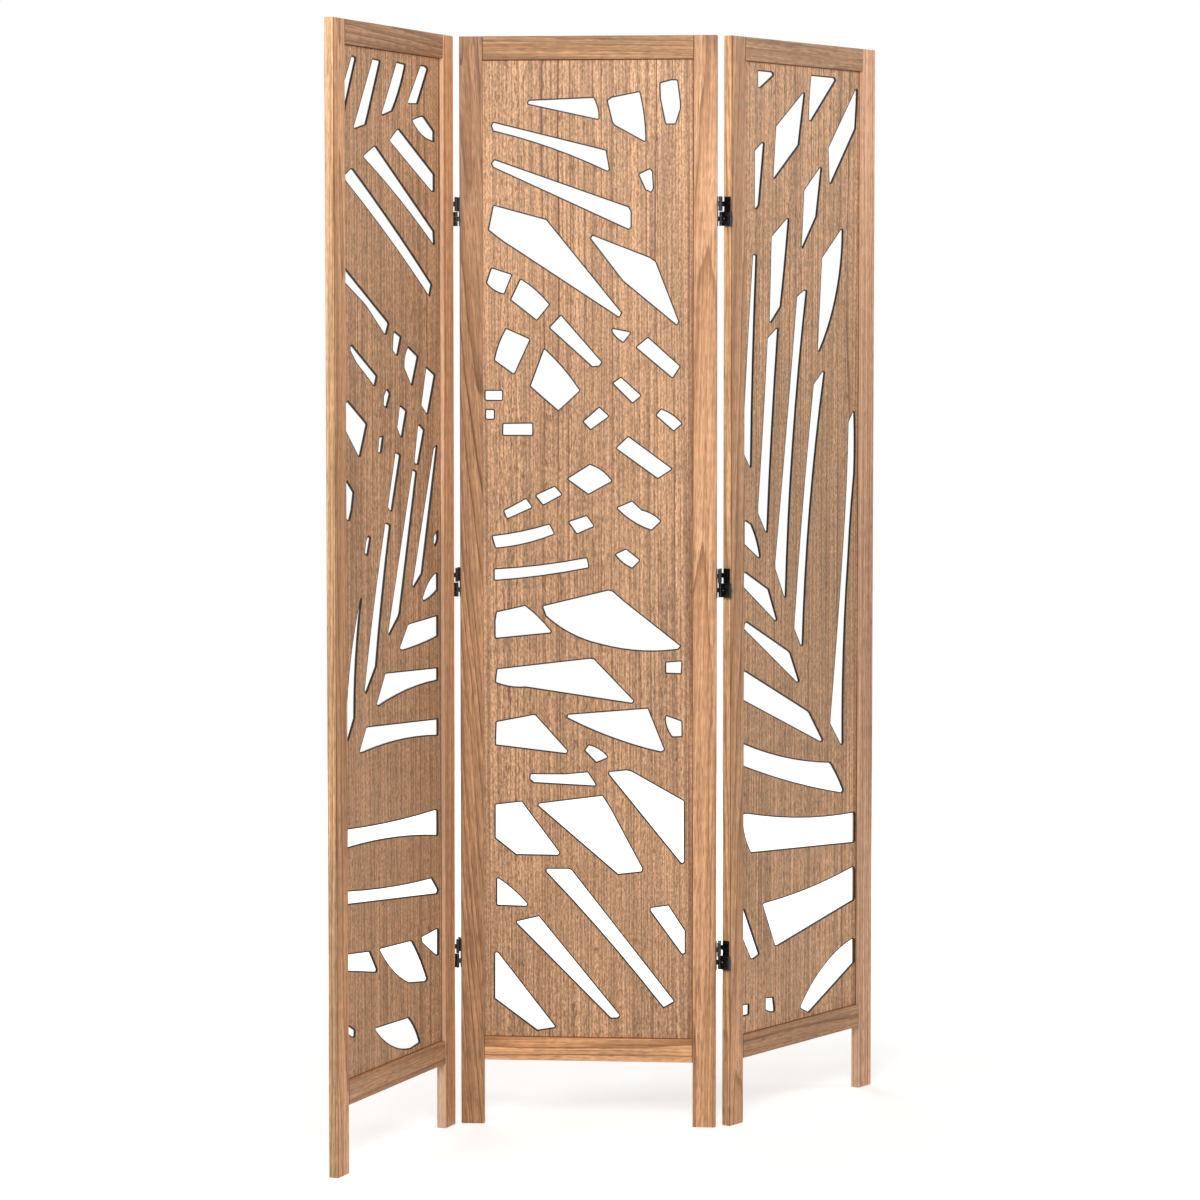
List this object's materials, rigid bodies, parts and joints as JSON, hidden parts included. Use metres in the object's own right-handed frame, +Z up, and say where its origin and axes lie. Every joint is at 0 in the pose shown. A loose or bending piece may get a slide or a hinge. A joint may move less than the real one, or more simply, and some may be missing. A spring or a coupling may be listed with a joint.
{
  "type": "folding screen",
  "caption": "Free-standing folding room divider: light wooden frames with carved openwork sheets, joined edge to edge by double-action hinges.",
  "frame": {"origin": "on the floor, under the middle of the screen's outer box", "axes": "+Z up, +X along the middle panel towards the right panel as seen from the front, -Y towards the front"},
  "size_m": [0.7908, 0.7406, 1.7],
  "materials": {
    "frame_wood": "satin",
    "fret_wood": "satin",
    "dowel_wood": "raw",
    "hinge_black": "gloss",
    "screw_black": "gloss",
    "pin_steel": "gloss"
  },
  "bodies": {
    "middle_panel": {"left_hinge_low_middle_leaf": "hinge_black", "left_hinge_low_upper_strap": "hinge_black", "left_hinge_middle_middle_leaf": "hinge_black", "left_hinge_middle_upper_strap": "hinge_black", "left_hinge_top_middle_leaf": "hinge_black", "left_hinge_top_upper_strap": "hinge_black", "middle_panel_bottom_rail": "frame_wood", "middle_panel_dowels": "dowel_wood", "middle_panel_fret": "fret_wood", "middle_panel_hinge_pins": "pin_steel", "middle_panel_hinge_screws": "screw_black", "middle_panel_left_stile": "frame_wood", "middle_panel_right_stile": "frame_wood", "middle_panel_top_rail": "frame_wood", "right_hinge_low_middle_leaf": "hinge_black", "right_hinge_low_upper_strap": "hinge_black", "right_hinge_middle_middle_leaf": "hinge_black", "right_hinge_middle_upper_strap": "hinge_black", "right_hinge_top_middle_leaf": "hinge_black", "right_hinge_top_upper_strap": "hinge_black"},
    "left_panel": {"left_hinge_low_lower_strap": "hinge_black", "left_hinge_low_side_leaf": "hinge_black", "left_hinge_middle_lower_strap": "hinge_black", "left_hinge_middle_side_leaf": "hinge_black", "left_hinge_top_lower_strap": "hinge_black", "left_hinge_top_side_leaf": "hinge_black", "left_panel_bottom_rail": "frame_wood", "left_panel_dowels": "dowel_wood", "left_panel_fret": "fret_wood", "left_panel_hinge_pins": "pin_steel", "left_panel_hinge_screws": "screw_black", "left_panel_left_stile": "frame_wood", "left_panel_right_stile": "frame_wood", "left_panel_top_rail": "frame_wood"},
    "right_panel": {"right_hinge_low_lower_strap": "hinge_black", "right_hinge_low_side_leaf": "hinge_black", "right_hinge_middle_lower_strap": "hinge_black", "right_hinge_middle_side_leaf": "hinge_black", "right_hinge_top_lower_strap": "hinge_black", "right_hinge_top_side_leaf": "hinge_black", "right_panel_bottom_rail": "frame_wood", "right_panel_dowels": "dowel_wood", "right_panel_fret": "fret_wood", "right_panel_hinge_pins": "pin_steel", "right_panel_hinge_screws": "screw_black", "right_panel_left_stile": "frame_wood", "right_panel_right_stile": "frame_wood", "right_panel_top_rail": "frame_wood"}
  },
  "joints": [
    {"name": "left_fold", "type": "hinge", "parent": "middle_panel", "child": "left_panel", "pos_m": [-0.24944, 0.0127, 0.85], "axis": [0, 0, 1], "range_deg": [-71.3, 108.7]},
    {"name": "right_fold", "type": "hinge", "parent": "middle_panel", "child": "right_panel", "pos_m": [0.16056, 0.0317, 0.85], "axis": [0, 0, 1], "range_deg": [-57, 123]}
  ]
}
